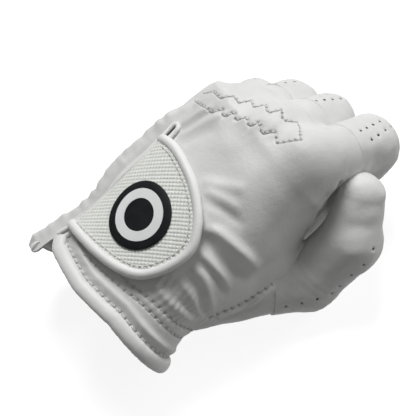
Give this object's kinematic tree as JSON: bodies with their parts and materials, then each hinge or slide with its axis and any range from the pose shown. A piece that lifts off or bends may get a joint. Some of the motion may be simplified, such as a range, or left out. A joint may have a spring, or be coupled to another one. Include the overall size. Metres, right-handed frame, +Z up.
{
  "type": "golf glove",
  "caption": "White leather left-hand golf glove closed round a fist, with bound cuff, cuff slit, elastics, jointed fingers and a hook-and-loop closure tab with a round badge.",
  "frame": {"origin": "bottom centre of the glove's box, on the table it rests on", "axes": "+X from the cuff to the fingers, +Z up with the back of the hand uppermost, +Y to the little-finger side"},
  "size_m": [0.1286, 0.0952, 0.0626],
  "materials": {
    "leather": "soft white cabretta leather, fine grain, satin",
    "binding": "rolled white edge binding, satin",
    "elastic": "white woven elastic",
    "thread": "white polyester thread",
    "label": "blank white satin label",
    "loop_fabric": "white brushed loop fabric",
    "hook_tape": "white hook tape",
    "woven_face": "white woven mesh",
    "badge_rubber": "black moulded rubber, satin",
    "badge_print": "white raised ring"
  },
  "bodies": {
    "root": {"back_panel": "leather", "palm_panel": "leather", "cuff_binding": "binding", "slit_binding": "binding", "wrist_elastic": "elastic", "palm_elastic": "elastic", "knuckle_elastic": "elastic", "size_label": "label", "loop_pad": "loop_fabric", "tab_root": "leather", "thumb_base": "leather", "cuff_stitching": "thread", "elastic_stitching": "thread", "knuckle_stitching": "thread", "tab_stitching": "thread"},
    "closure_tab": {"hook_pad": "hook_tape", "tab_backing": "leather", "tab_face": "woven_face", "tab_piping": "binding", "badge": "badge_rubber", "badge_inlay": "badge_print"},
    "knuckle_row": {"index_base": "leather", "middle_base": "leather", "ring_base": "leather", "little_base": "leather", "index_middle_fourchette": "leather", "middle_ring_fourchette": "leather", "ring_little_fourchette": "leather"},
    "index_bend": {"index_middle": "leather"},
    "index_end": {"index_tip": "leather"},
    "middle_bend": {"middle_middle": "leather"},
    "middle_end": {"middle_tip": "leather"},
    "ring_bend": {"ring_middle": "leather"},
    "ring_end": {"ring_tip": "leather"},
    "little_bend": {"little_middle": "leather"},
    "little_end": {"little_tip": "leather"},
    "thumb_bend": {"thumb_middle": "leather"},
    "thumb_end": {"thumb_tip": "leather"}
  },
  "joints": [
    {"name": "knuckle_flex", "type": "hinge", "parent": "root", "child": "knuckle_row", "pos_m": [0.03175, -0.01575, 0.05233], "axis": [0.265, -0.9255, 0.2706], "range_deg": [0, 58]},
    {"name": "tab_peel", "type": "hinge", "parent": "root", "child": "closure_tab", "pos_m": [-0.0309, 0.02465, 0.04964], "axis": [-0.956, 0, -0.2933], "range_deg": [0, 140]},
    {"name": "index_middle_joint", "type": "hinge", "parent": "knuckle_row", "child": "index_bend", "pos_m": [0.05663, -0.01175, 0.03193], "axis": [0.0784, -0.992, -0.0988], "range_deg": [0, 82]},
    {"name": "index_end_joint", "type": "hinge", "parent": "index_bend", "child": "index_end", "pos_m": [0.0395, -0.01075, 0.00831], "axis": [0.0347, -0.9971, -0.0674], "range_deg": [0, 69.14]},
    {"name": "middle_middle_joint", "type": "hinge", "parent": "knuckle_row", "child": "middle_bend", "pos_m": [0.05234, 0.00725, 0.03056], "axis": [0.1224, -0.9881, -0.0932], "range_deg": [0, 80]},
    {"name": "middle_end_joint", "type": "hinge", "parent": "middle_bend", "child": "middle_end", "pos_m": [0.03532, 0.00725, 0.00823], "axis": [0.0851, -0.9943, -0.0648], "range_deg": [0, 66.8]},
    {"name": "ring_middle_joint", "type": "hinge", "parent": "knuckle_row", "child": "ring_bend", "pos_m": [0.04628, 0.02425, 0.02653], "axis": [0.1827, -0.9784, -0.097], "range_deg": [0, 81]},
    {"name": "ring_end_joint", "type": "hinge", "parent": "ring_bend", "child": "ring_end", "pos_m": [0.0305, 0.02325, 0.0069], "axis": [0.0951, -0.9951, -0.0258], "range_deg": [0, 68.37]},
    {"name": "little_middle_joint", "type": "hinge", "parent": "knuckle_row", "child": "little_bend", "pos_m": [0.03797, 0.04025, 0.01968], "axis": [0.32, -0.9405, -0.1145], "range_deg": [0, 94]},
    {"name": "little_end_joint", "type": "hinge", "parent": "little_bend", "child": "little_end", "pos_m": [0.02313, 0.03675, 0.00697], "axis": [0.1205, -0.9841, 0.1303], "range_deg": [0, 57.7]},
    {"name": "thumb_knuckle", "type": "hinge", "parent": "root", "child": "thumb_bend", "pos_m": [0.0135, -0.03475, 0.01082], "axis": [0.269, 0.9487, -0.1661], "range_deg": [0, 45]},
    {"name": "thumb_end_joint", "type": "hinge", "parent": "thumb_bend", "child": "thumb_end", "pos_m": [0.03233, -0.03775, 0.02418], "axis": [0.5785, 0.3494, -0.737], "range_deg": [0, 30]}
  ],
  "couplings": [
    {"joint": "index_end_joint", "follows": "index_middle_joint", "ratio": 0.77},
    {"joint": "middle_end_joint", "follows": "middle_middle_joint", "ratio": 0.76},
    {"joint": "ring_end_joint", "follows": "ring_middle_joint", "ratio": 0.77},
    {"joint": "little_end_joint", "follows": "little_middle_joint", "ratio": 0.55}
  ]
}
